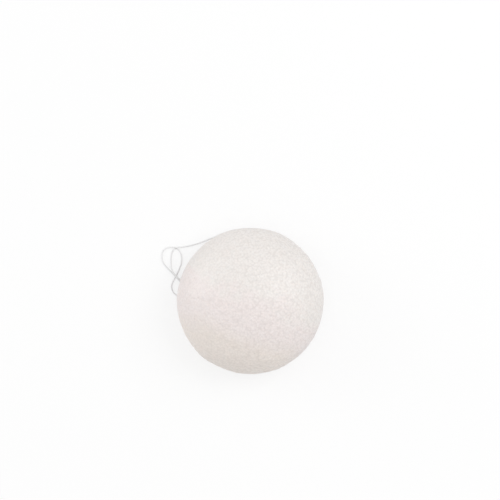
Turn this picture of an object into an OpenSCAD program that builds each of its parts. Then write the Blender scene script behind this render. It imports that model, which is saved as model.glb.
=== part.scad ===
// Puff-shaped konjac sponge with its hanging string.
// It lies on its flat face with the dome up. The origin is the centre of that face, +Z is up.
// The string enters and leaves the sponge under the rim, and its two ends are knotted together.

/* [Sponge] */
// Diameter across the widest part of the rim
sponge_d = 76; // [70:1:84]
// Height from the flat face to the crown
sponge_h = 38; // [30:1:46]
// Height of the widest part above the flat face
rim_h = 10.5; // [9:0.5:13]
// How far the flat face is drawn in from the widest part
rim_inset = 10; // [9:0.5:12]

/* [String] */
// Diameter of the twisted cotton string
string_d = 0.8; // [0.7:0.05:0.9]
// Height of the needle hole above the flat face
thread_h = 2; // [1.8:0.1:2.4]
// Bend radius of the string inside the sponge, that of the curved needle
thread_bend_r = 22; // [20:0.5:24]
// Gap all round between the string and its needle hole
thread_gap = 0.15; // [0.1:0.05:0.3]

/* [Knot] */
// Radius of the ring that the knot's turns follow
knot_ring_r = 1.2; // [1.1:0.05:1.4]
// Radius of the knot's turns about that ring
knot_turn_r = 0.6; // [0.55:0.05:0.7]
// Length of each strand that runs straight into the knot, and of each end that runs out
knot_lead = 2.4; // [2.1:0.1:2.7]
// Distance between the two strands side by side at the knot
knot_pair = 0.9; // [0.85:0.05:1.1]

/* [Hidden] */
$fn = 96;

sponge_r = sponge_d / 2;
flat_r = sponge_r - rim_inset;
string_r = string_d / 2;
channel_r = string_r + thread_gap;

// Steps along each curve of the sponge's outline and through the knot, and sides of the string
curve_steps = 18;
knot_steps = 26;
string_sides = 8;

// Damp white plant fibre, and bleached cotton
sponge_colour = "#ece4e1";
string_colour = "#e8e8e4";

// The outline runs along the flat face, round the rim and over the dome: two quarters of ellipses
rim_curve = [for (i = [0 : curve_steps])
    let (a = 90 * i / curve_steps)
    [flat_r + rim_inset * sin(a), rim_h - rim_h * cos(a)]];
dome_curve = [for (i = [1 : curve_steps])
    let (a = 90 * i / curve_steps)
    [sponge_r * cos(a), rim_h + (sponge_h - rim_h) * sin(a)]];

// Radius of the sponge at a height below its widest part
function rim_radius(h) = flat_r + rim_inset * sqrt(1 - pow(1 - h / rim_h, 2));

// The needle's path is a level arc. Its centre lies beyond the rim, in shares of the sponge's radius.
needle_centre_share = [-0.84, 0.62];
needle_centre = sponge_r * needle_centre_share;
needle_reach = norm(needle_centre);
needle_turn = atan2(needle_centre[1], needle_centre[0]);

// The arc ends where the whole hole is clear of the rim
free_r = rim_radius(thread_h + channel_r) + thread_gap;
needle_half = acos((pow(free_r, 2) - pow(needle_reach, 2) - pow(thread_bend_r, 2))
    / (2 * needle_reach * thread_bend_r));
upper_end = needle_turn - needle_half;
lower_end = needle_turn + needle_half - 360;

function needle_point(a) = [
    needle_centre[0] + thread_bend_r * cos(a), needle_centre[1] + thread_bend_r * sin(a), thread_h];

// Directions in which the strands leave the sponge
upper_exit = [-sin(upper_end), cos(upper_end), 0];
lower_exit = [sin(lower_end), -cos(lower_end), 0];

// Routes of the two free strands: x, y and how far the string is lifted off the surface it lies on.
// The upper strand crosses the top of the lower one's loop, and both end above the knot.
upper_route = [
    [-12.7, 33.7, 1.5], [-13.5, 34.1, 1.3], [-14.6, 34.2, 1], [-16.3, 33.8, 0.5],
    [-18.5, 33.1, 0.1], [-20.9, 32.3, 0], [-23.3, 31.3, 0], [-25.9, 30.3, 0], [-28.6, 29.4, 0],
    [-31.2, 28.7, 0.1], [-33.6, 28.3, 0.3], [-35.8, 27.9, 0.6], [-38, 27.7, 0.8],
    [-40.3, 27.8, 0.6], [-42.5, 27.7, 0.2], [-44.2, 27.1, 0], [-45.4, 25.8, 0], [-46, 24, 0],
    [-46, 22, 0], [-45.5, 20.1, 0], [-44.3, 18.3, 0], [-42.9, 16.7, 0.1], [-41.6, 15.3, 0.4],
    [-40.3, 14, 0.75], [-39.2, 12.8, 0.9], [-38.2, 11.8, 0.85]];
lower_route = [
    [-36.2, 1.9, 1.4], [-37.3, 2.2, 1], [-38.5, 2.8, 0.4], [-39.6, 3.7, 0.1], [-40.5, 5, 0],
    [-41, 6.6, 0], [-40.9, 8.3, 0], [-40.3, 9.9, 0], [-39.5, 11.4, 0], [-38.6, 13, 0],
    [-37.7, 14.8, 0], [-36.8, 16.9, 0], [-36, 19.3, 0], [-35.7, 21.7, 0], [-36, 23.9, 0],
    [-36.6, 25.4, 0], [-37.5, 26.6, 0], [-38.7, 27.1, 0], [-39.9, 26.6, 0], [-40.7, 25.2, 0],
    [-41.2, 22.8, 0], [-41.3, 20.5, 0], [-41.3, 18.6, 0.3], [-41.1, 17, 0.8], [-40.6, 15.4, 1.3],
    [-39.8, 14.2, 1.65], [-38.9, 13.2, 1.75], [-38, 12.2, 1.7]];
// The cut ends lie back under the rim
upper_tail = [[-33.2, 6.9, 0], [-33, 5.9, 0], [-33.1, 4.9, 0]];
lower_tail = [[-33.9, 6.2, 0], [-34, 5.2, 0], [-34.3, 4.2, 0]];

function laid(route) = [for (p = route) [p[0], p[1], string_r + p[2]]];

// Place of the knot, and the heading of the string as it enters it
knot_place = [-34.3, 10.6];
knot_heading = -47;
// The string inside the knot is pressed thinner
knot_press_share = 0.9;
knot_wire_r = string_r * knot_press_share;
knot_h = knot_turn_r + knot_wire_r;
// The pair comes in with one strand on top of the other, at this angle, and lies down side by side
knot_lean = 60;
// Angle between the two strands on the ring, and the share of the turns that the straight leads replace
knot_spread = 75;
knot_open_share = 0.035;
knot_edge = knot_ring_r + knot_turn_r;
knot_mid_share = 0.5;

// An overhand knot is a trefoil opened at one side: it goes twice round the ring and three times through.
// In the knot's own frame x points to the opened side and y along the string.
function knot_turn(t, side) =
    let (around = 2 * 360 * t,
        through = 3 * 360 * t + side * knot_spread / 2,
        reach = knot_ring_r + knot_turn_r * cos(through))
    [reach * cos(around), reach * sin(around), knot_turn_r * sin(through)];

// A strand passes outside or inside its partner, over the turns on its way in and under them on its way out
function pass(side, lean) = [knot_edge - side * knot_pair / 2 * cos(lean), side * knot_pair / 2 * sin(lean)];
function lead_in(side) = [for (step = [[1, knot_lean], [knot_mid_share, 0]])
    let (place = pass(side, step[1]))
    [place[0], -knot_lead * step[0], knot_turn_r + place[1]]];
function lead_out(side) = [for (f = [knot_mid_share, 1])
    [pass(-side, 0)[0], knot_lead * f, string_r - knot_h]];
function placed(p) = [
    knot_place[0] + p[0] * sin(knot_heading) + p[1] * cos(knot_heading),
    knot_place[1] - p[0] * cos(knot_heading) + p[1] * sin(knot_heading),
    knot_h + p[2]];
function knot_path(side) = [for (p = concat(
    lead_in(side),
    [for (i = [0 : knot_steps])
        knot_turn(knot_open_share + (1 - 2 * knot_open_share) * i / knot_steps, side)],
    lead_out(side)))
    placed(p)];

// Each half of the string is one path from the sponge through the knot to its cut end
upper_path = concat([needle_point(upper_end)], laid(upper_route), knot_path(-1), laid(upper_tail));
lower_path = concat([needle_point(lower_end)], laid(lower_route), knot_path(1), laid(lower_tail));
upper_last = len(upper_route) + 1;
lower_last = len(lower_route) + 1;

function unit(v) = v / norm(v);
function direction(path, i, exit) = i == 0 ? exit : unit(path[min(i + 1, len(path) - 1)] - path[i - 1]);

// One ring of the string's tube, square to the path
function ring(path, i, exit, r) =
    let (along = direction(path, i, exit),
        across = unit(cross(along, [0, 0, 1])),
        up = cross(across, along))
    [for (k = [0 : string_sides - 1])
        let (a = 360 * k / string_sides)
        path[i] + r * (across * cos(a) + up * sin(a))];

// The tube between two points of a path, pressed thinner between its ends where press is below 1
module tube(path, first, last, exit, press) {
    count = last - first + 1;
    points = [for (i = [first : last])
        each ring(path, i, exit, i == first ? string_r : string_r * press)];
    sides = [for (i = [0 : count - 2], k = [0 : string_sides - 1])
        let (n = (k + 1) % string_sides, here = i * string_sides, next = here + string_sides)
        each [[here + k, here + n, next + n], [here + k, next + n, next + k]]];
    start_cap = [[for (k = [string_sides - 1 : -1 : 0]) k]];
    end_cap = [[for (k = [0 : string_sides - 1]) (count - 1) * string_sides + k]];
    polyhedron(points, concat(start_cap, sides, end_cap));
}

function path_length(path, first, last) =
    first >= last ? 0 : norm(path[first + 1] - path[first]) + path_length(path, first + 1, last);
echo(upper_strand_length = path_length(upper_path, 0, upper_last));
echo(lower_strand_length = path_length(lower_path, 0, lower_last));
echo(threaded_length = thread_bend_r * (upper_end - lower_end) * PI / 180);

// A level arc of round section along the needle's path
module needle_arc(r, overrun) {
    translate([needle_centre[0], needle_centre[1], thread_h])
        rotate([0, 0, lower_end - overrun])
            rotate_extrude(angle = upper_end - lower_end + 2 * overrun)
                translate([thread_bend_r, 0])
                    circle(r = r);
}

module sponge() {
    channel_overrun = 360 * channel_r / (PI * thread_bend_r);
    color(sponge_colour)
        difference() {
            rotate_extrude()
                polygon(concat([[0, 0]], rim_curve, dome_curve));
            needle_arc(channel_r, channel_overrun);
        }
}

module threaded_string() {
    color(string_colour)
        needle_arc(string_r, 0);
}

module upper_strand() {
    color(string_colour)
        tube(upper_path, 0, upper_last, upper_exit, 1);
}

module lower_strand() {
    color(string_colour)
        tube(lower_path, 0, lower_last, lower_exit, 1);
}

module loop_knot() {
    color(string_colour) {
        tube(upper_path, upper_last, len(upper_path) - 1, upper_exit, knot_press_share);
        tube(lower_path, lower_last, len(lower_path) - 1, lower_exit, knot_press_share);
    }
}

sponge();
threaded_string();
upper_strand();
lower_strand();
loop_knot();
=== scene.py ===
"""Looks of a konjac sponge and its string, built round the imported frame.

The sponge is one moulded puff of damp plant fibre. Its string is one length of three-ply cotton: it runs
through a needle hole under the rim, leaves it at two places, and ends in a knot tied in both strands.
"""

import math

import bpy
from bpy.props import FloatProperty, FloatVectorProperty, IntProperty, PointerProperty
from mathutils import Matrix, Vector


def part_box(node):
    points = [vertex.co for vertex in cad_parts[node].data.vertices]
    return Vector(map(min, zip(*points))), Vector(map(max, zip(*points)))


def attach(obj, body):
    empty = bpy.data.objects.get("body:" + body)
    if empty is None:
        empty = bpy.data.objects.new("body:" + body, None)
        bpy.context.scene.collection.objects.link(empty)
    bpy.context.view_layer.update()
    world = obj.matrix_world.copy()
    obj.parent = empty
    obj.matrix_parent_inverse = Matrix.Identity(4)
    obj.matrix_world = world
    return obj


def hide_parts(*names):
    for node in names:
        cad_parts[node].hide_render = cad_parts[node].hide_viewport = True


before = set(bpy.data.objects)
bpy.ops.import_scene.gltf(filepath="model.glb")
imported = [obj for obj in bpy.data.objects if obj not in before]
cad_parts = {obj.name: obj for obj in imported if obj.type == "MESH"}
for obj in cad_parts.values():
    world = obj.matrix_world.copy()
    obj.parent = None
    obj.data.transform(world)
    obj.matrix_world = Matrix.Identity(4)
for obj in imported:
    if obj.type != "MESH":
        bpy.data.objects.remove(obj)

bl_info = {
    "name": "Konjac Sponge",
    "version": (1, 0, 0),
    "blender": (4, 5, 0),
    "location": "View3D > Sidebar > Konjac",
    "description": "Adds a konjac sponge with its twisted string, and a stage to show it on",
    "category": "Add Mesh",
}

MM = 0.001
BODY = "root"
UP = Vector((0, 0, 1))

# The string's way, which the CAD solids follow. Each place is given in millimetres: across, along and how
# far the string is lifted off the floor. The tails are the two cut ends after the knot.
UPPER_WAY = (
    (-12.7, 33.7, 1.5), (-13.5, 34.1, 1.3), (-14.6, 34.2, 1), (-16.3, 33.8, 0.5),
    (-18.5, 33.1, 0.1), (-20.9, 32.3, 0), (-23.3, 31.3, 0), (-25.9, 30.3, 0), (-28.6, 29.4, 0),
    (-31.2, 28.7, 0.1), (-33.6, 28.3, 0.3), (-35.8, 27.9, 0.6), (-38, 27.7, 0.8),
    (-40.3, 27.8, 0.6), (-42.5, 27.7, 0.2), (-44.2, 27.1, 0), (-45.4, 25.8, 0), (-46, 24, 0),
    (-46, 22, 0), (-45.5, 20.1, 0), (-44.3, 18.3, 0), (-42.9, 16.7, 0.1), (-41.6, 15.3, 0.4),
    (-40.3, 14, 0.75), (-39.2, 12.8, 0.9), (-38.2, 11.8, 0.85),
)
LOWER_WAY = (
    (-36.2, 1.9, 1.4), (-37.3, 2.2, 1), (-38.5, 2.8, 0.4), (-39.6, 3.7, 0.1), (-40.5, 5, 0),
    (-41, 6.6, 0), (-40.9, 8.3, 0), (-40.3, 9.9, 0), (-39.5, 11.4, 0), (-38.6, 13, 0),
    (-37.7, 14.8, 0), (-36.8, 16.9, 0), (-36, 19.3, 0), (-35.7, 21.7, 0), (-36, 23.9, 0),
    (-36.6, 25.4, 0), (-37.5, 26.6, 0), (-38.7, 27.1, 0), (-39.9, 26.6, 0), (-40.7, 25.2, 0),
    (-41.2, 22.8, 0), (-41.3, 20.5, 0), (-41.3, 18.6, 0.3), (-41.1, 17, 0.8), (-40.6, 15.4, 1.3),
    (-39.8, 14.2, 1.65), (-38.9, 13.2, 1.75), (-38, 12.2, 1.7),
)
UPPER_TAIL = ((-33.2, 6.9, 0), (-33, 5.9, 0), (-33.1, 4.9, 0))
LOWER_TAIL = ((-33.9, 6.2, 0), (-34, 5.2, 0), (-34.3, 4.2, 0))

# The needle's level way through the sponge: the centre of its bend, in shares of the sponge's radius, the
# bend's radius, its height, and the gap round the string
NEEDLE_CENTRE_SHARE = (-0.84, 0.62)
NEEDLE_BEND_R = 22 * MM
NEEDLE_H = 2 * MM
NEEDLE_GAP = 0.15 * MM

# The knot: its place, the heading of the string into it, and the angle at which one strand lies on the
# other as they come in. All angles of the knot are in degrees.
KNOT_PLACE = (-34.3 * MM, 10.6 * MM)
KNOT_HEADING = -47
KNOT_LEAN = 60
# The ring that its turns follow, the turns round that ring, the straight leads and the strands' distance
KNOT_RING_R = 1.2 * MM
KNOT_TURN_R = 0.6 * MM
KNOT_LEAD = 2.4 * MM
KNOT_PAIR = 0.9 * MM
# The angle between the strands on the ring, the share of the turns that is left out at each end, where the
# middle point of a lead lies, and the number of steps in the turns
KNOT_SPREAD = 75
KNOT_OPEN_SHARE = 0.035
KNOT_MID_SHARE = 0.5
KNOT_STEPS = 26
# The string is pressed to this share of its thickness in the knot, and gets so over this length
KNOT_PRESS_SHARE = 0.9
KNOT_PRESS_RUN = 1 * MM

# The ball that the puff is shaped from gives its dome, its rim and its flat face. The dome and the rim end
# at these angles from the ball's top.
DOME_END = math.radians(96.5)
RIM_END = math.radians(129.2)

# How far the floor reaches, and the distance and width of both lamps, in metres. A lamp's place is its turn
# and its tilt, in degrees.
FLOOR_REACH = 6
LAMP_DISTANCE = 1.4
LAMP_WIDTH = 0.9
LEFT_LAMP_PLACE = (160, 75)
RIGHT_LAMP_PLACE = (25, 44)
WHITE = (1, 1, 1, 1)

# The kinds of node that are added most
MATH = "ShaderNodeMath"
VECTOR_MATH = "ShaderNodeVectorMath"
MAP_RANGE = "ShaderNodeMapRange"
MIX = "ShaderNodeMix"


def linear(hex_colour):
    """An sRGB hex colour as linear red, green, blue and alpha."""
    channels = [int(hex_colour[i:i + 2], 16) / 255 for i in (1, 3, 5)]
    return [c / 12.92 if c <= 0.04045 else ((c + 0.055) / 1.055) ** 2.4 for c in channels] + [1]


def colour_property(name, description, hex_colour):
    return FloatVectorProperty(
        name=name, description=description, subtype="COLOR", size=4, min=0, max=1,
        default=linear(hex_colour))


def length_property(name, description, default):
    return FloatProperty(
        name=name, description=description, default=default, min=0, precision=5, unit="LENGTH")


sponge_low, sponge_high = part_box("sponge")


class SpongeSettings(bpy.types.PropertyGroup):
    across: length_property(
        "Width", "Diameter across the widest part of the rim", sponge_high.x - sponge_low.x)
    height: length_property("Height", "Height from the flat face to the crown", sponge_high.z)
    rim_height: length_property("Rim Height", "Height of the widest part above the flat face", 10.5 * MM)
    rim_inset: length_property(
        "Rim Inset", "How far the flat face is drawn in from the widest part", 10 * MM)
    grid: IntProperty(name="Grid", description="Vertices along each side of the mesh's six fields",
                      default=128, min=16, max=256)
    lump_size: length_property("Lump Size", "Width of the puff's soft unevenness", 17 * MM)
    lump_depth: length_property("Lump Depth", "Most that the unevenness rises or falls", 0.35 * MM)
    pore_size: length_property("Pore Size", "Distance between the larger pores", 2.2 * MM)
    pore_depth: length_property("Pore Depth", "Depth of the larger pores", 0.2 * MM)
    cell_size: length_property("Cell Size", "Distance between the small cells of the fibre net", 1.3 * MM)
    cell_depth: length_property("Cell Depth", "Depth of the small cells", 0.12 * MM)
    pucker_size: length_property(
        "Pucker Size", "How far round a needle hole the fibre is drawn in", 2.2 * MM)
    pucker_depth: length_property(
        "Pucker Depth", "How deep the fibre is drawn in at a needle hole", 0.7 * MM)
    pale: colour_property("Fibre", "Colour of the damp fibre", "#f9f2ef")
    warm: colour_property("Warm Fibre", "Colour of its faintly pink clouds", "#fbf1ef")
    cool: colour_property("Cool Fibre", "Colour of its faintly grey clouds", "#f8f4f0")
    straw: colour_property("Straw Fibre", "Colour of the side that stayed a little yellow", "#faf1ea")
    # The pores' tint is painted shade, laid on between the bumps and in the pores
    deep: colour_property("Pores", "Tint that the fibre's colour takes on in the pores", "#e1e0df")


class StringSettings(bpy.types.PropertyGroup):
    diameter: length_property("Diameter", "Diameter of the twisted string", 0.8 * MM)
    plies: IntProperty(name="Plies", description="Yarns twisted together", default=3, min=2, max=5)
    lay: length_property("Lay", "Length in which a ply goes once round the string", 2.8 * MM)
    ply_share: FloatProperty(name="Ply Share", description="A ply's diameter as a share of the string's",
                             default=0.54, min=0.3, max=0.7, subtype="FACTOR")
    step: length_property("Step", "Distance between the rings of the plies", 0.2 * MM)
    fuzz_length: length_property("Fuzz Length", "Usual length of a loose fibre", 0.6 * MM)
    fuzz_thickness: length_property("Fuzz Thickness", "Radius of a loose fibre at its root", 0.014 * MM)
    fuzz_density: FloatProperty(name="Fuzz Density", description="Loose fibres to a square metre of yarn",
                                default=2.5e5, min=0)
    fray_length: length_property("Fray Length", "Length over which a cut end comes apart", 1.5 * MM)
    fray: FloatProperty(name="Fray", description="How much wider a cut end gets, as a share of its width",
                        default=1.3, min=0)
    bleached: colour_property("Cotton", "Colour of the bleached cotton", "#fbfbfb")
    # The grooves' colour is painted shade between the fibres
    groove_shade: colour_property("Grooves", "Colour between the fibres", "#f0f1f2")


class StageSettings(bpy.types.PropertyGroup):
    floor: colour_property("Floor", "Colour of the floor, for the light that it throws back", "#d9d9d9")
    floor_seen: colour_property("Seen Floor", "Colour of the floor where it is seen itself", "#959595")
    floor_lift: FloatProperty(name="Floor Lift", description="Light that the floor itself is seen to give",
                              default=0.705, min=0, max=1)
    sky: FloatProperty(name="Sky", description="Strength of the even light from all round",
                       default=0.73, min=0)
    left: FloatProperty(name="Left Lamp", description="Power of the low lamp",
                        default=4.15, min=0, unit="POWER")
    right: FloatProperty(name="Right Lamp", description="Power of the high lamp",
                         default=5.15, min=0, unit="POWER")
    view_width: length_property("View Width", "Width of the picture at the height of the rim", 259.4 * MM)
    view_height: length_property("View Height", "Height of the camera above the rim", 2)


def set_inputs(node, inputs):
    """Gives a node its inputs, in order or by name or place: values, sockets, or nodes for their result."""
    for place, value in inputs.items() if isinstance(inputs, dict) else enumerate(inputs):
        if isinstance(value, bpy.types.Node):
            value = next(socket for socket in value.outputs if socket.enabled)
        if isinstance(value, bpy.types.NodeSocket):
            node.id_data.links.new(value, node.inputs[place])
        else:
            node.inputs[place].default_value = value


def add_node(tree, kind, inputs=(), **settings):
    """Adds a node with its settings and inputs."""
    node = tree.nodes.new(kind)
    for name, value in settings.items():
        setattr(node, name, value)
    set_inputs(node, inputs)
    return node


def new_material(name):
    """A material and its node tree."""
    material = bpy.data.materials.new(name)
    material.use_nodes = True
    return material, material.node_tree


def new_tree(name, inputs):
    """A geometry node tree with a geometry input and output and the named inputs, and its input node."""
    tree = bpy.data.node_groups.new(name, "GeometryNodeTree")
    tree.interface.new_socket(name="Geometry", in_out="INPUT", socket_type="NodeSocketGeometry")
    for socket, kind in inputs:
        tree.interface.new_socket(name=socket, in_out="INPUT", socket_type=f"NodeSocket{kind}")
    tree.interface.new_socket(name="Geometry", in_out="OUTPUT", socket_type="NodeSocketGeometry")
    return tree, tree.nodes.new("NodeGroupInput").outputs


def close_tree(tree, geometry, material):
    """Ends a tree in plain faces of one material."""
    smooth = add_node(tree, "GeometryNodeSetShadeSmooth", [geometry])
    real = add_node(tree, "GeometryNodeRealizeInstances", [smooth])
    dressed = add_node(tree, "GeometryNodeSetMaterial", {"Geometry": real, "Material": material})
    add_node(tree, "NodeGroupOutput", [dressed])


def grown_piece(name, start, tree, values):
    """A piece whose plain mesh is what a tree with these input values makes of a start mesh."""
    piece = bpy.data.objects.new(name, start)
    bpy.context.scene.collection.objects.link(piece)
    modifier = piece.modifiers.new(tree.name, "NODES")
    modifier.node_group = tree
    for item in tree.interface.items_tree:
        if item.in_out == "INPUT" and item.name in values:
            modifier[item.identifier] = values[item.name]
    grown = bpy.data.meshes.new_from_object(piece.evaluated_get(bpy.context.evaluated_depsgraph_get()))
    piece.modifiers.clear()
    piece.data = grown
    grown.name = name
    bpy.data.meshes.remove(start)
    if not grown.polygons:
        raise RuntimeError(f"the tree {tree.name} made no faces for {name}")
    return piece


def needle_ends(sponge):
    """The needle's centre, and the angles at which its way leaves by the upper and by the lower hole."""
    radius = sponge.across / 2
    centre = Vector(NEEDLE_CENTRE_SHARE) * radius
    # The way ends where the top of the hole has come clear of the rounded rim
    clear_h = NEEDLE_H + bpy.context.scene.konjac_string.diameter / 2 + NEEDLE_GAP
    rim_reach = sponge.rim_inset * math.sqrt(1 - (1 - clear_h / sponge.rim_height) ** 2)
    free_r = radius - sponge.rim_inset + rim_reach + NEEDLE_GAP
    half = math.acos((free_r ** 2 - centre.length_squared - NEEDLE_BEND_R ** 2)
                     / (2 * centre.length * NEEDLE_BEND_R))
    turn = math.atan2(centre.y, centre.x)
    return centre, turn - half, turn + half - 2 * math.pi


def needle_point(centre, angle):
    return Vector((
        centre.x + NEEDLE_BEND_R * math.cos(angle), centre.y + NEEDLE_BEND_R * math.sin(angle), NEEDLE_H))


def laid(way, radius):
    """Places on the floor, in metres, at the height of the string's middle."""
    return [Vector((x * MM, y * MM, radius + lift * MM)) for x, y, lift in way]


def knot_points(side, radius):
    """One strand's way through the knot: a trefoil opened at one side, with a straight lead in and out."""
    height = KNOT_TURN_R + radius * KNOT_PRESS_SHARE
    edge = KNOT_RING_R + KNOT_TURN_R
    heading = math.radians(KNOT_HEADING)
    apart = side * KNOT_PAIR / 2
    way = [(edge - apart * math.cos(lean), -KNOT_LEAD * share, KNOT_TURN_R + apart * math.sin(lean))
           for share, lean in ((1, math.radians(KNOT_LEAN)), (KNOT_MID_SHARE, 0))]
    for i in range(KNOT_STEPS + 1):
        share = KNOT_OPEN_SHARE + (1 - 2 * KNOT_OPEN_SHARE) * i / KNOT_STEPS
        around = 2 * math.tau * share
        through = 3 * math.tau * share + side * math.radians(KNOT_SPREAD) / 2
        reach = KNOT_RING_R + KNOT_TURN_R * math.cos(through)
        way.append((reach * math.cos(around), reach * math.sin(around), KNOT_TURN_R * math.sin(through)))
    way += [(edge + apart, KNOT_LEAD * share, radius - height) for share in (KNOT_MID_SHARE, 1)]
    sine, cosine = math.sin(heading), math.cos(heading)
    east, north = KNOT_PLACE
    return [Vector((east + x * sine + y * cosine, north - x * cosine + y * sine, height + z))
            for x, y, z in way]


def smooth_way(points, step):
    """The points joined by a smooth curve that passes through each, and the place of each point in it."""
    spans = [(b - a).length for a, b in zip(points, points[1:])]
    slopes = [(b - a) / span for a, b, span in zip(points, points[1:], spans)]
    leans = [slopes[0]]
    for i in range(1, len(slopes)):
        leans.append((slopes[i - 1] * spans[i] + slopes[i] * spans[i - 1]) / (spans[i - 1] + spans[i]))
    leans.append(slopes[-1])
    way, places = [points[0]], [0]
    for i, span in enumerate(spans):
        count = max(1, round(span / step))
        for k in range(1, count + 1):
            t = k / count
            way.append(
                points[i] * (2 * t ** 3 - 3 * t ** 2 + 1) + leans[i] * span * (t ** 3 - 2 * t ** 2 + t)
                + points[i + 1] * (3 * t ** 2 - 2 * t ** 3) + leans[i + 1] * span * (t ** 3 - t ** 2))
        places.append(len(way) - 1)
    return way, places


def half_strings():
    """The string's upper and lower half, each as a smooth way and the place in it where the knot begins."""
    scene = bpy.context.scene
    radius, step = scene.konjac_string.diameter / 2, scene.konjac_string.step
    centre, upper_end, lower_end = needle_ends(scene.konjac_sponge)
    halves = []
    for angle, way, tail, side in (
            (upper_end, UPPER_WAY, UPPER_TAIL, -1), (lower_end, LOWER_WAY, LOWER_TAIL, 1)):
        points = [needle_point(centre, angle), *laid(way, radius),
                  *knot_points(side, radius), *laid(tail, radius)]
        smooth, places = smooth_way(points, step)
        halves.append((smooth, places[len(way) + 1]))
    return halves


def cotton_string_material():
    """Bleached cotton, spun and twisted from three yarns: a matt white, with fine fibres that run round
    each yarn, and painted shade in the narrow grooves between them."""
    settings = bpy.context.scene.konjac_string
    material, tree = new_material("Twisted bleached cotton")
    # Spun fibres are about 0.02 mm thick. They are drawn 0.09 mm wide, and long, so that they show.
    fibre_width, fibre_stretch = 0.09 * MM, 12
    place = add_node(tree, "ShaderNodeAttribute", attribute_name="fibre")
    drawn = add_node(tree, "ShaderNodeMapping", {
        "Vector": place.outputs["Vector"],
        "Scale": (1 / fibre_width, 1 / fibre_width, 1 / (fibre_width * fibre_stretch))})
    fibres = add_node(tree, "ShaderNodeTexNoise", {
        "Vector": drawn, "Scale": 1, "Detail": 3, "Roughness": 0.6})
    # Shade is painted only into the narrow grooves between the fibres
    raised = add_node(tree, MAP_RANGE, (fibres, 0.3, 0.55))
    tint = add_node(tree, MIX, {
        0: raised, 6: settings.groove_shade, 7: settings.bleached}, data_type="RGBA")
    bump = add_node(tree, "ShaderNodeBump", {"Height": fibres, "Distance": 0.06 * MM, "Strength": 0.8})
    set_inputs(tree.nodes["Principled BSDF"], {
        "Base Color": tint, "Normal": bump, "Roughness": 0.88, "Specular IOR Level": 0.3,
        "Sheen Weight": 0.15, "Sheen Roughness": 0.6})
    return material


def wound_plies(tree, given, along, press, loose):
    """The lines of the plies, each of which winds round the string's line in the plane across it."""
    line = add_node(tree, "GeometryNodeMeshToCurve", {"Mesh": given["Geometry"]})
    plies = add_node(tree, "GeometryNodeDuplicateElements", {
        "Geometry": line, "Amount": given["Plies"]}, domain="SPLINE")
    ply = plies.outputs["Duplicate Index"]
    ply_share = add_node(tree, MATH, (ply, given["Plies"]), operation="DIVIDE")
    start = add_node(tree, MATH, (ply_share, math.tau), operation="MULTIPLY")
    lays = add_node(tree, MATH, (along, given["Lay"]), operation="DIVIDE")
    turn = add_node(tree, MATH, (lays, math.tau, start), operation="MULTIPLY_ADD")
    cosine = add_node(tree, MATH, [turn], operation="COSINE")
    sine = add_node(tree, MATH, [turn], operation="SINE")

    tangent = tree.nodes.new("GeometryNodeInputTangent")
    level = add_node(tree, VECTOR_MATH, (tangent, UP), operation="CROSS_PRODUCT")
    side = add_node(tree, VECTOR_MATH, [level], operation="NORMALIZE")
    rise = add_node(tree, VECTOR_MATH, (side, tangent), operation="CROSS_PRODUCT")
    reach = add_node(tree, MATH, (given["Ply Reach"], press), operation="MULTIPLY")
    # A cut end comes apart sideways, because it lies on the floor
    apart = add_node(tree, MATH, (given["Fray"], loose, 1), operation="MULTIPLY_ADD")
    wide = add_node(tree, MATH, (reach, apart), operation="MULTIPLY")
    sideways = add_node(tree, VECTOR_MATH, {
        "Vector": side, "Scale": add_node(tree, MATH, (cosine, wide), operation="MULTIPLY")},
        operation="SCALE")
    upwards = add_node(tree, VECTOR_MATH, {
        "Vector": rise, "Scale": add_node(tree, MATH, (sine, reach), operation="MULTIPLY")},
        operation="SCALE")
    offset = add_node(tree, VECTOR_MATH, (sideways, upwards), operation="ADD")
    wound = add_node(tree, "GeometryNodeSetPosition", {"Geometry": plies, "Offset": offset})
    return add_node(tree, "GeometryNodeStoreNamedAttribute", {
        "Geometry": wound, "Name": "ply", "Value": ply}, data_type="FLOAT", domain="CURVE")


def spun_yarn(tree, given, plies, along, press, around, ply):
    """The tubes of the plies, whose points carry where they lie among the fibres."""
    sides = 8
    # The length in which a fibre turns by one radian round its ply, as a share of the lay
    fibre_turn_share = 0.1
    ring = add_node(tree, "GeometryNodeCurvePrimitiveCircle", {"Resolution": sides, "Radius": 1})
    share = tree.nodes.new("GeometryNodeSplineParameter").outputs["Factor"]
    angle = add_node(tree, MATH, (share, math.tau), operation="MULTIPLY")
    marked_ring = add_node(tree, "GeometryNodeStoreNamedAttribute", {
        "Geometry": ring, "Name": "around", "Value": angle}, data_type="FLOAT", domain="POINT")
    thickness = add_node(tree, MATH, (given["Ply Radius"], press), operation="MULTIPLY")
    tube = add_node(tree, "GeometryNodeCurveToMesh", {
        "Curve": plies, "Profile Curve": marked_ring, "Scale": thickness, "Fill Caps": True})

    fibre_turn = add_node(tree, MATH, (given["Lay"], fibre_turn_share), operation="MULTIPLY")
    turned = add_node(tree, MATH, (along, fibre_turn), operation="DIVIDE")
    spin = add_node(tree, MATH, (around, turned), operation="SUBTRACT")
    cosine = add_node(tree, MATH, [spin], operation="COSINE")
    sine = add_node(tree, MATH, [spin], operation="SINE")
    fibre = add_node(tree, "ShaderNodeCombineXYZ", {
        "X": add_node(tree, MATH, (cosine, given["Ply Radius"]), operation="MULTIPLY"),
        "Y": add_node(tree, MATH, (sine, given["Ply Radius"]), operation="MULTIPLY"),
        "Z": add_node(tree, MATH, (along, ply), operation="ADD")})
    return add_node(tree, "GeometryNodeStoreNamedAttribute", {
        "Geometry": tube, "Name": "fibre", "Value": fibre}, data_type="FLOAT_VECTOR", domain="POINT")


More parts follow.
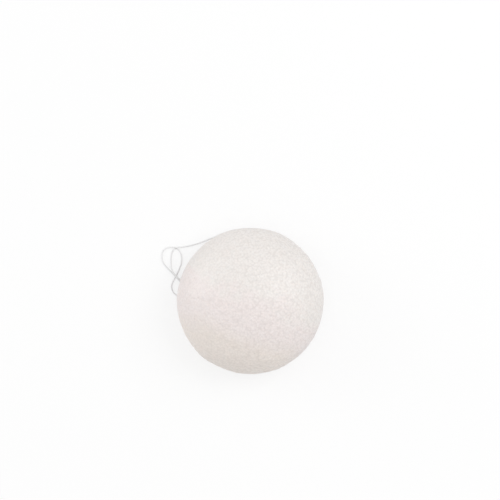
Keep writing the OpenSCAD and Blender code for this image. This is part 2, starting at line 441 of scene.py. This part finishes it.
def loose_fibres(tree, given, yarn, loose):
    """Fibres that stand off the yarn, more of them at a cut end."""
    rings, sides = 5, 3
    # A fibre's tip curls to one side and down, in shares of its length, and is thinner than its root
    curl, tip_share = (0.7, 0, -0.45), 0.4
    # How many times more fibres stand at a cut end, how far they lean in radians, and their lengths' shares
    end_crowd, most_lean, shortest, longest = 10, 0.9, 0.35, 1.2
    line = add_node(tree, "GeometryNodeCurvePrimitiveLine", {"Start": (0, 0, 0), "End": UP})
    steps = add_node(tree, "GeometryNodeResampleCurve", {"Curve": line, "Count": rings})
    share = tree.nodes.new("GeometryNodeSplineParameter").outputs["Factor"]
    square = add_node(tree, MATH, (share, 2), operation="POWER")
    bend = add_node(tree, VECTOR_MATH, {"Vector": curl, "Scale": square}, operation="SCALE")
    bent = add_node(tree, "GeometryNodeSetPosition", {"Geometry": steps, "Offset": bend})
    ring = add_node(tree, "GeometryNodeCurvePrimitiveCircle", {"Resolution": sides, "Radius": 1})
    slimness = add_node(tree, MATH, (given["Fuzz Thickness"], given["Fuzz Length"]), operation="DIVIDE")
    taper = add_node(tree, MAP_RANGE, (share, 0, 1, 1, tip_share))
    hair = add_node(tree, "GeometryNodeCurveToMesh", {
        "Curve": bent, "Profile Curve": ring, "Fill Caps": True,
        "Scale": add_node(tree, MATH, (slimness, taper), operation="MULTIPLY")})

    crowd = add_node(tree, MATH, (loose, end_crowd, 1), operation="MULTIPLY_ADD")
    density = add_node(tree, MATH, (given["Fuzz Density"], crowd), operation="MULTIPLY")
    roots = add_node(tree, "GeometryNodeDistributePointsOnFaces", {
        "Mesh": yarn, "Density": density, "Seed": given["Seed"]})
    lean = add_node(tree, "FunctionNodeRandomValue", {
        "Min": (-most_lean, -most_lean, 0), "Max": (most_lean, most_lean, math.tau), "Seed": 3},
        data_type="FLOAT_VECTOR")
    leaning = add_node(tree, "FunctionNodeEulerToRotation", [lean])
    stand = add_node(tree, "FunctionNodeRotateRotation", (
        roots.outputs["Rotation"], leaning), rotation_space="LOCAL")
    size = add_node(tree, "FunctionNodeRandomValue", {
        2: shortest, 3: longest, "Seed": 5}, data_type="FLOAT")
    length = add_node(tree, MATH, (size, given["Fuzz Length"]), operation="MULTIPLY")
    fuzz = add_node(tree, "GeometryNodeInstanceOnPoints", {
        "Points": roots, "Instance": hair, "Rotation": stand, "Scale": length})
    return add_node(tree, "GeometryNodeRealizeInstances", [fuzz])


def twisted_string_tree():
    """Twists plies round a line. The line's points carry how far along the string they are, how thin it is
    pressed there and how far it has come apart."""
    tree, given = new_tree("Twisted String", (
        ("Plies", "Int"), ("Lay", "Float"), ("Ply Radius", "Float"), ("Ply Reach", "Float"),
        ("Fray", "Float"), ("Fuzz Length", "Float"), ("Fuzz Thickness", "Float"), ("Fuzz Density", "Float"),
        ("Seed", "Int"), ("Material", "Material")))
    along, press, loose, around, ply = (
        add_node(tree, "GeometryNodeInputNamedAttribute", {"Name": name}, data_type="FLOAT")
        for name in ("along", "press", "loose", "around", "ply"))
    plies = wound_plies(tree, given, along, press, loose)
    yarn = spun_yarn(tree, given, plies, along, press, around, ply)
    both = add_node(tree, "GeometryNodeJoinGeometry")
    for part in (yarn, loose_fibres(tree, given, yarn, loose)):
        set_inputs(both, [part])

    # Nothing lies below the floor
    lowest = 0.01 * MM
    place = add_node(tree, "ShaderNodeSeparateXYZ", [tree.nodes.new("GeometryNodeInputPosition")])
    lifted = add_node(tree, "ShaderNodeCombineXYZ", {
        "X": place.outputs["X"], "Y": place.outputs["Y"],
        "Z": add_node(tree, MATH, (place.outputs["Z"], lowest), operation="MAXIMUM")})
    rested = add_node(tree, "GeometryNodeSetPosition", {"Geometry": both, "Position": lifted})
    close_tree(tree, rested, given["Material"])
    return tree


def line_mesh(name, lines):
    """A mesh of open lines. Each line is a list of points, each with its along, press and loose."""
    mesh = bpy.data.meshes.new(name)
    points, edges, marks = [], [], {"along": [], "press": [], "loose": []}
    for line in lines:
        first = len(points)
        edges += [(first + i, first + i + 1) for i in range(len(line) - 1)]
        for point, *values in line:
            points.append(point)
            for mark, value in zip(marks, values):
                marks[mark].append(value)
    mesh.from_pydata(points, edges, [])
    for mark, values in marks.items():
        mesh.attributes.new(mark, "FLOAT", "POINT").data.foreach_set("value", values)
    return mesh


def marked(way, knot_start, fray_length):
    """A half's points, with how far along they are, how thin the knot presses them there and how far they
    are frayed."""
    along = [0]
    for a, b in zip(way, way[1:]):
        along.append(along[-1] + (b - a).length)
    points = []
    for point, here in zip(way, along):
        pressed = min(1, max(0, (here - along[knot_start]) / KNOT_PRESS_RUN))
        loose = max(0, 1 - (along[-1] - here) / fray_length)
        points.append((point, here, 1 - (1 - KNOT_PRESS_SHARE) * pressed, loose))
    return points


def string_piece(name, lines, seed):
    """A stretch of the string as a piece of its own."""
    settings = bpy.context.scene.konjac_string
    tree = bpy.data.node_groups.get("Twisted String") or twisted_string_tree()
    material = bpy.data.materials.get("Twisted bleached cotton") or cotton_string_material()
    ply_radius = settings.ply_share * settings.diameter / 2
    piece = grown_piece(name, line_mesh(name + "_line", lines), tree, {
        "Plies": settings.plies, "Lay": settings.lay, "Ply Radius": ply_radius,
        "Ply Reach": settings.diameter / 2 - ply_radius, "Fray": settings.fray,
        "Fuzz Length": settings.fuzz_length, "Fuzz Thickness": settings.fuzz_thickness,
        "Fuzz Density": settings.fuzz_density, "Seed": seed, "Material": material})
    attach(piece, BODY)
    return piece


def damp_fibre_material():
    """Konjac fibre, foamed in a mould and kept damp: a matt, slightly translucent off-white with faint
    pink, grey and straw-coloured clouds, with painted shade between its bumps and in its pores."""
    settings = bpy.context.scene.konjac_sponge
    material, tree = new_material("Damp foamed konjac fibre")
    place = tree.nodes.new("ShaderNodeTexCoord").outputs["Object"]
    cloud_size, net_size, grain_size = 13 * MM, 1.05 * MM, 2.4 * MM
    # How fast the fibre gets warmer and yellower across the puff, by the metre, how much the clouds stray
    # from that, and how much of the plain fibre's colour stays
    warm_slope, yellow_slope = (-5.4, -12, 0), (-10, -30, 0)
    warm_stray, yellow_stray, plain_share = 0.5, 0.3, 0.35
    clouds = add_node(tree, "ShaderNodeTexNoise", {
        "Vector": place, "Scale": 1 / cloud_size, "Detail": 2, "Roughness": 0.5})
    # The fibre gets warmer towards the lower left
    warm_side = add_node(tree, VECTOR_MATH, (place, warm_slope), operation="DOT_PRODUCT")
    warm_clouds = add_node(tree, MATH, (clouds, warm_stray, warm_side), operation="MULTIPLY_ADD")
    warmth = add_node(tree, MAP_RANGE, (warm_clouds, 0.15, 0.27))
    clouded = add_node(tree, MIX, {0: warmth, 6: settings.cool, 7: settings.warm}, data_type="RGBA")
    even = add_node(tree, MIX, {0: plain_share, 6: clouded, 7: settings.pale}, data_type="RGBA")
    # The fibre gets yellower towards the bottom edge
    yellow_side = add_node(tree, VECTOR_MATH, (place, yellow_slope), operation="DOT_PRODUCT")
    yellow_clouds = add_node(tree, MATH, (clouds, yellow_stray, yellow_side), operation="MULTIPLY_ADD")
    yellow = add_node(tree, MAP_RANGE, (yellow_clouds, 0.6, 0.9))
    tinted = add_node(tree, MIX, {0: yellow, 6: even, 7: settings.straw}, data_type="RGBA")

    # The fibres themselves are too fine to show. They are drawn as the net of small bumps that they make
    # together, with a grain of many sizes from the grain size down. Both have these shares in the relief.
    net_share, grain_share = 0.5, 0.55
    net = add_node(tree, "ShaderNodeTexVoronoi", {
        "Vector": place, "Scale": 1 / net_size}, feature="SMOOTH_F1")
    grain = add_node(tree, "ShaderNodeTexNoise", {
        "Vector": place, "Scale": 1 / grain_size, "Detail": 5, "Roughness": 0.85})
    bumps = add_node(tree, MAP_RANGE, (net, 0.1, 0.7, 1, 0))
    net_relief = add_node(tree, MATH, (bumps, net_share), operation="MULTIPLY")
    grain_relief = add_node(tree, MATH, (grain, grain_share), operation="MULTIPLY")
    relief = add_node(tree, MATH, (net_relief, grain_relief), operation="ADD")
    bump = add_node(tree, "ShaderNodeBump", {"Height": relief, "Distance": 0.25 * MM, "Strength": 0.7})
    rough = add_node(tree, MAP_RANGE, (grain, 0.3, 0.7, 0.36, 0.54))

    # Shade is painted between the bumps and in the pores, where less light comes out. These are the shares
    # of the pores' tint that the skin takes on at its usual height, and a pore at its deepest.
    usual_shade, pore_shade = 0.28, 0.9
    # The painted shade between the bumps is stronger towards the right, the lit side, where the lamps show
    # the relief more
    across = add_node(tree, "ShaderNodeSeparateXYZ", [place]).outputs["X"]
    lit_side_contrast = add_node(tree, MAP_RANGE, (across, -30 * MM, 2 * MM, 0.55, 1.1))
    depth = add_node(tree, MAP_RANGE, (relief, 0.3, 0.75, 1, -1))
    stray = add_node(tree, MATH, (depth, lit_side_contrast), operation="MULTIPLY")
    bump_shade = add_node(tree, MATH, (stray, usual_shade, usual_shade), operation="MULTIPLY_ADD")
    hollow = add_node(tree, "ShaderNodeAttribute", attribute_name="hollow")
    pore = add_node(tree, MATH, (hollow.outputs["Fac"], pore_shade), operation="MULTIPLY")
    shade = add_node(tree, MATH, (bump_shade, pore), operation="MAXIMUM")
    shaded = add_node(tree, MIX, {
        0: shade, 6: tinted, 7: settings.deep}, data_type="RGBA", blend_type="MULTIPLY")
    # The film of water on it gives a soft sheen
    set_inputs(tree.nodes["Principled BSDF"], {
        "Base Color": shaded, "Normal": bump, "Roughness": rough, "Specular IOR Level": 0.9,
        "Subsurface Weight": 0.25, "Subsurface Radius": (1, 0.92, 0.86), "Subsurface Scale": 1.5 * MM})
    return material


def puff_outline(tree, given, position):
    """Where a cube's points lie on the puff, which has a dome and a rim, both quarter ellipses, and a flat
    face."""
    # A cube whose fields are bent by the tangent gives directions that are spread evenly over a ball
    angles = add_node(tree, VECTOR_MATH, {"Vector": position, "Scale": math.pi / 4}, operation="SCALE")
    bent = add_node(tree, VECTOR_MATH, [angles], operation="TANGENT")
    towards = add_node(tree, VECTOR_MATH, [bent], operation="NORMALIZE")
    x, y, z = add_node(tree, "ShaderNodeSeparateXYZ", [towards]).outputs
    polar = add_node(tree, MATH, [z], operation="ARCCOSINE")
    sideways = add_node(tree, "ShaderNodeCombineXYZ", (x, y))
    level = add_node(tree, VECTOR_MATH, [sideways], operation="NORMALIZE")

    dome = add_node(tree, MAP_RANGE, (polar, 0, DOME_END, 0, math.pi / 2))
    rim = add_node(tree, MAP_RANGE, (polar, DOME_END, RIM_END, 0, math.pi / 2))
    flat = add_node(tree, MAP_RANGE, (polar, RIM_END, math.pi))
    dome_sine = add_node(tree, MATH, [dome], operation="SINE")
    dome_cosine = add_node(tree, MATH, [dome], operation="COSINE")
    rim_sine = add_node(tree, MATH, [rim], operation="SINE")
    rim_cosine = add_node(tree, MATH, [rim], operation="COSINE")

    # How far a point lies from the middle line
    dome_reach = add_node(tree, MATH, (given["Radius"], dome_sine), operation="MULTIPLY")
    inset_share = add_node(tree, MATH, (1, rim_cosine), operation="SUBTRACT")
    inset = add_node(tree, MATH, (given["Rim Inset"], inset_share), operation="MULTIPLY")
    rim_reach = add_node(tree, MATH, (dome_reach, inset), operation="SUBTRACT")
    flat_radius = add_node(tree, MATH, (given["Radius"], given["Rim Inset"]), operation="SUBTRACT")
    flat_run = add_node(tree, MATH, (flat_radius, flat), operation="MULTIPLY")
    reach = add_node(tree, MATH, (rim_reach, flat_run), operation="SUBTRACT")

    # How high it lies
    dome_height = add_node(tree, MATH, (given["Height"], given["Rim Height"]), operation="SUBTRACT")
    crown = add_node(tree, MATH, (dome_height, dome_cosine), operation="MULTIPLY")
    waist_share = add_node(tree, MATH, (1, rim_sine), operation="SUBTRACT")
    waist = add_node(tree, MATH, (given["Rim Height"], waist_share), operation="MULTIPLY")
    rise = add_node(tree, MATH, (crown, waist), operation="ADD")
    out = add_node(tree, VECTOR_MATH, {"Vector": level, "Scale": reach}, operation="SCALE")
    up = add_node(tree, "ShaderNodeCombineXYZ", {"Z": rise})
    return add_node(tree, VECTOR_MATH, (out, up), operation="ADD")


def soft_unevenness(tree, given, position):
    """How far the skin rises or falls in wide soft lumps, which fade out at the flat face."""
    fade_start, fade_end = 0.5 * MM, 6 * MM
    to_the_metre = add_node(tree, MATH, (1, given["Lump Size"]), operation="DIVIDE")
    lumps = add_node(tree, "ShaderNodeTexNoise", {
        "Vector": position, "Scale": to_the_metre, "Detail": 2.5, "Roughness": 0.55})
    swell = add_node(tree, MAP_RANGE, (lumps, 0.25, 0.75, -1, 1))
    depth = add_node(tree, MATH, (swell, given["Lump Depth"]), operation="MULTIPLY")
    height = add_node(tree, "ShaderNodeSeparateXYZ", [position]).outputs["Z"]
    free = add_node(tree, MAP_RANGE, (height, fade_start, fade_end), interpolation_type="SMOOTHSTEP")
    return add_node(tree, MATH, (depth, free), operation="MULTIPLY")


def pores_and_cells(tree, given, position):
    """How deep the larger pores, each of its own width, and the net of small cells between them are."""
    # The radius of a pore, as a share of the distance between pores
    narrow, broad = 0.14, 0.42
    pores_to_the_metre = add_node(tree, MATH, (1, given["Pore Size"]), operation="DIVIDE")
    pores = add_node(tree, "ShaderNodeTexVoronoi", {"Vector": position, "Scale": pores_to_the_metre})
    chance = add_node(tree, "ShaderNodeSeparateXYZ", [pores.outputs["Color"]])
    radius = add_node(tree, MAP_RANGE, (chance, 0.3, 1, narrow, broad))
    pit = add_node(tree, MAP_RANGE, (pores, 0, radius, 1, 0), interpolation_type="SMOOTHSTEP")
    cells_to_the_metre = add_node(tree, MATH, (1, given["Cell Size"]), operation="DIVIDE")
    cells = add_node(tree, "ShaderNodeTexVoronoi", {
        "Vector": position, "Scale": cells_to_the_metre}, feature="SMOOTH_F1")
    dent = add_node(tree, MAP_RANGE, (cells, 0.15, 0.6, 1, 0))
    pit_depth = add_node(tree, MATH, (pit, given["Pore Depth"]), operation="MULTIPLY")
    dent_depth = add_node(tree, MATH, (dent, given["Cell Depth"]), operation="MULTIPLY")
    return add_node(tree, MATH, (pit_depth, dent_depth), operation="ADD")


def puckers(tree, given, position):
    """How deep the fibre is drawn in where the string goes through."""
    away = []
    for hole in ("Upper Hole", "Lower Hole"):
        distance = add_node(tree, VECTOR_MATH, (position, given[hole]), operation="DISTANCE")
        away.append(add_node(tree, MATH, (distance, given["Pucker Size"]), operation="DIVIDE"))
    nearer = add_node(tree, MATH, away, operation="MINIMUM")
    square = add_node(tree, MATH, (nearer, 2), operation="POWER")
    falling = add_node(tree, MATH, (square, -1), operation="MULTIPLY")
    bell = add_node(tree, MATH, [falling], operation="EXPONENT")
    return add_node(tree, MATH, (bell, given["Pucker Depth"]), operation="MULTIPLY")


def needle_bore(tree, given):
    """The rod that the needle hole is cut with, which follows a level arc."""
    rings, sides = 64, 16
    arc = add_node(tree, "GeometryNodeCurveArc", {
        "Resolution": rings, "Radius": given["Needle Radius"], "Start Angle": given["Needle Start"],
        "Sweep Angle": given["Needle Sweep"]})
    ring = add_node(tree, "GeometryNodeCurvePrimitiveCircle", {
        "Resolution": sides, "Radius": given["Channel Radius"]})
    rod = add_node(tree, "GeometryNodeCurveToMesh", {
        "Curve": arc, "Profile Curve": ring, "Fill Caps": True})
    return add_node(tree, "GeometryNodeTransform", {"Geometry": rod, "Translation": given["Needle Centre"]})


def moulded_puff_tree():
    """Rolls six square fields into the puff's rounded rim, dome and flat face, raises its skin and cuts its
    needle hole."""
    tree, given = new_tree("Moulded Puff", (
        ("Grid", "Int"), ("Radius", "Float"), ("Height", "Float"), ("Rim Height", "Float"),
        ("Rim Inset", "Float"), ("Lump Size", "Float"), ("Lump Depth", "Float"), ("Pore Size", "Float"),
        ("Pore Depth", "Float"), ("Cell Size", "Float"), ("Cell Depth", "Float"), ("Pucker Size", "Float"),
        ("Pucker Depth", "Float"), ("Upper Hole", "Vector"), ("Lower Hole", "Vector"),
        ("Needle Centre", "Vector"), ("Needle Radius", "Float"), ("Needle Start", "Float"),
        ("Needle Sweep", "Float"), ("Channel Radius", "Float"), ("Material", "Material")))
    position = tree.nodes.new("GeometryNodeInputPosition")
    cube = add_node(tree, "GeometryNodeMeshCube", {
        "Size": (2, 2, 2), "Vertices X": given["Grid"], "Vertices Y": given["Grid"],
        "Vertices Z": given["Grid"]})
    plain = add_node(tree, "GeometryNodeSetPosition", {
        "Geometry": cube, "Position": puff_outline(tree, given, position)})

    # The material paints shade into the pores by a mark of how deep they are, which is made before the skin
    # moves
    hollow = pores_and_cells(tree, given, position)
    deepest = add_node(tree, MATH, (given["Pore Depth"], given["Cell Depth"]), operation="ADD")
    depth = add_node(tree, MATH, (hollow, deepest), operation="DIVIDE")
    noted = add_node(tree, "GeometryNodeStoreNamedAttribute", {
        "Geometry": plain, "Name": "hollow", "Value": depth}, data_type="FLOAT", domain="POINT")
    pitted = add_node(tree, MATH, (soft_unevenness(tree, given, position), hollow), operation="SUBTRACT")
    total = add_node(tree, MATH, (pitted, puckers(tree, given, position)), operation="SUBTRACT")
    normal = tree.nodes.new("GeometryNodeInputNormal")
    offset = add_node(tree, VECTOR_MATH, {"Vector": normal, "Scale": total}, operation="SCALE")
    raised = add_node(tree, "GeometryNodeSetPosition", {"Geometry": noted, "Offset": offset})
    cut = add_node(tree, "GeometryNodeMeshBoolean", (
        raised, needle_bore(tree, given)), operation="DIFFERENCE", solver="MANIFOLD")
    close_tree(tree, cut, given["Material"])
    return tree


class KONJAC_OT_camera(bpy.types.Operator):
    """Adds the camera, which looks straight down at the crown"""

    bl_idname = "konjac.add_camera"
    bl_label = "Add Camera"

    def execute(self, context):
        stage = context.scene.konjac_stage
        # The sponge's middle is 26.4 mm below the middle of the picture
        picture_middle = (-0.1 * MM, 26.4 * MM)
        data = bpy.data.cameras.new("camera")
        data.lens = data.sensor_width * stage.view_height / stage.view_width
        data.clip_end = 4 * stage.view_height
        camera = bpy.data.objects.new("camera", data)
        camera.location = (*picture_middle, stage.view_height + context.scene.konjac_sponge.rim_height)
        context.scene.collection.objects.link(camera)
        context.scene.camera = camera
        return {"FINISHED"}


class KONJAC_OT_string(bpy.types.Operator):
    """Adds the string: two free strands, the knot in both, and the stretch in the needle hole"""

    bl_idname = "konjac.add_string"
    bl_label = "Add String"

    def execute(self, context):
        settings = context.scene.konjac_string
        upper, lower = half_strings()
        strands, ends = {}, []
        for name, (way, start), seed in (("upper_string", upper, 11), ("lower_string", lower, 12)):
            points = marked(way, start, settings.fray_length)
            piece = string_piece(name, [points[:start + 1]], seed)
            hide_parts(name.replace("string", "strand"))
            strands[name] = piece
            ends.append(points[start:])
        knot = string_piece("overhand_knot", ends, seed=13)
        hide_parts("loop_knot")

        centre, upper_end, lower_end = needle_ends(context.scene.konjac_sponge)
        count = round(NEEDLE_BEND_R * (upper_end - lower_end) / settings.step)
        held = []
        for i in range(count + 1):
            angle = upper_end + (lower_end - upper_end) * i / count
            held.append((needle_point(centre, angle), -NEEDLE_BEND_R * (upper_end - angle), 1, 0))
        stretch = string_piece("string_in_needle_hole", [held[::-1]], seed=14)
        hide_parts("threaded_string")
        return {"FINISHED"}


class KONJAC_OT_sponge(bpy.types.Operator):
    """Adds the sponge, a padded puff with a porous skin"""

    bl_idname = "konjac.add_sponge"
    bl_label = "Add Sponge"

    def execute(self, context):
        sponge = context.scene.konjac_sponge
        centre, upper_end, lower_end = needle_ends(sponge)
        channel = context.scene.konjac_string.diameter / 2 + NEEDLE_GAP
        # The hole is cut this much further than the string's way at each end, by its own width
        overrun = 2 * channel / NEEDLE_BEND_R
        piece = grown_piece("porous_puff", bpy.data.meshes.new("puff_start"), moulded_puff_tree(), {
            "Grid": sponge.grid, "Radius": sponge.across / 2, "Height": sponge.height,
            "Rim Height": sponge.rim_height, "Rim Inset": sponge.rim_inset,
            "Lump Size": sponge.lump_size, "Lump Depth": sponge.lump_depth,
            "Pore Size": sponge.pore_size, "Pore Depth": sponge.pore_depth,
            "Cell Size": sponge.cell_size, "Cell Depth": sponge.cell_depth,
            "Pucker Size": sponge.pucker_size, "Pucker Depth": sponge.pucker_depth,
            "Upper Hole": needle_point(centre, upper_end), "Lower Hole": needle_point(centre, lower_end),
            "Needle Centre": (*centre, NEEDLE_H), "Needle Radius": NEEDLE_BEND_R,
            "Needle Start": lower_end - overrun, "Needle Sweep": upper_end - lower_end + 2 * overrun,
            "Channel Radius": channel, "Material": damp_fibre_material()})
        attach(piece, BODY)
        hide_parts("sponge")
        return {"FINISHED"}


def lamp(name, place, power):
    """A square soft lamp that shines on the sponge. Its place is its turn, counted from the right, and its
    tilt from upright."""
    turn, tilt = (math.radians(angle) for angle in place)
    data = bpy.data.lights.new(name, "AREA")
    data.energy, data.size = power, LAMP_WIDTH
    piece = bpy.data.objects.new(name, data)
    back = Vector((math.sin(tilt) * math.cos(turn), math.sin(tilt) * math.sin(turn), math.cos(tilt)))
    piece.location = back * LAMP_DISTANCE
    piece.rotation_euler = (-back).to_track_quat("-Z", "Y").to_euler()
    bpy.context.scene.collection.objects.link(piece)


def plainly_seen(tree):
    """1 for what the camera sees itself, mirrored or through glass, and 0 for light that falls on it."""
    rays = tree.nodes.new("ShaderNodeLightPath").outputs
    mirrored = add_node(tree, MATH, (
        rays["Is Glossy Ray"], rays["Is Transmission Ray"]), operation="MAXIMUM")
    return add_node(tree, MATH, (rays["Is Camera Ray"], mirrored), operation="MAXIMUM")


def white_board_material():
    """Board, painted a matt white. Seen itself, it is white mostly by its own light, so the shadow on it is
    faint."""
    stage = bpy.context.scene.konjac_stage
    material, tree = new_material("Matt white board")
    seen = plainly_seen(tree)
    board = add_node(tree, MIX, {0: seen, 6: stage.floor, 7: stage.floor_seen}, data_type="RGBA")
    lift = add_node(tree, MATH, (seen, stage.floor_lift), operation="MULTIPLY")
    set_inputs(tree.nodes["Principled BSDF"], {
        "Base Color": board, "Emission Color": WHITE, "Emission Strength": lift,
        "Roughness": 0.9, "Specular IOR Level": 0.1})
    return material


class KONJAC_OT_stage(bpy.types.Operator):
    """Adds the pale floor, the even sky and the two soft lamps"""

    bl_idname = "konjac.add_stage"
    bl_label = "Add Stage"

    def execute(self, context):
        stage = context.scene.konjac_stage
        mesh = bpy.data.meshes.new("floor")
        corners = [(x * FLOOR_REACH, y * FLOOR_REACH, 0) for x, y in ((-1, -1), (1, -1), (1, 1), (-1, 1))]
        mesh.from_pydata(corners, [], [(0, 1, 2, 3)])
        mesh.materials.append(white_board_material())
        floor = bpy.data.objects.new("floor", mesh)
        context.scene.collection.objects.link(floor)

        world = bpy.data.worlds.new("even sky")
        world.use_nodes = True
        context.scene.world = world
        tree = world.node_tree
        strength = add_node(tree, MAP_RANGE, (plainly_seen(tree), 0, 1, stage.sky, 1))
        set_inputs(tree.nodes["Background"], {"Color": WHITE, "Strength": strength})

        lamp("left_lamp", LEFT_LAMP_PLACE, stage.left)
        lamp("right_lamp", RIGHT_LAMP_PLACE, stage.right)
        context.scene.view_settings.view_transform = "Standard"
        return {"FINISHED"}


class KONJAC_PT_sidebar(bpy.types.Panel):
    """Sizes, colours and buttons of the konjac sponge"""

    bl_label = "Konjac Sponge"
    bl_idname = "KONJAC_PT_sidebar"
    bl_space_type = "VIEW_3D"
    bl_region_type = "UI"
    bl_category = "Konjac"

    def draw(self, context):
        for operator, group in BUTTONS:
            box = self.layout.box()
            box.operator(operator.bl_idname)
            if group:
                settings = getattr(context.scene, group)
                for name in settings.__annotations__:
                    box.prop(settings, name)


GROUPS = {"konjac_sponge": SpongeSettings, "konjac_string": StringSettings, "konjac_stage": StageSettings}
BUTTONS = (
    (KONJAC_OT_camera, None),
    (KONJAC_OT_string, "konjac_string"),
    (KONJAC_OT_sponge, "konjac_sponge"),
    (KONJAC_OT_stage, "konjac_stage"),
)


def register():
    for group in GROUPS.values():
        bpy.utils.register_class(group)
    for operator, _ in BUTTONS:
        bpy.utils.register_class(operator)
    bpy.utils.register_class(KONJAC_PT_sidebar)
    for name, group in GROUPS.items():
        setattr(bpy.types.Scene, name, PointerProperty(type=group))


def unregister():
    for name in GROUPS:
        delattr(bpy.types.Scene, name)
    bpy.utils.unregister_class(KONJAC_PT_sidebar)
    for operator, _ in BUTTONS:
        bpy.utils.unregister_class(operator)
    for group in GROUPS.values():
        bpy.utils.unregister_class(group)


def main():
    register()
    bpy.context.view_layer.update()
    bpy.ops.konjac.add_camera()
    bpy.ops.konjac.add_string()
    bpy.ops.konjac.add_sponge()
    bpy.ops.konjac.add_stage()


if __name__ == "__main__":
    main()
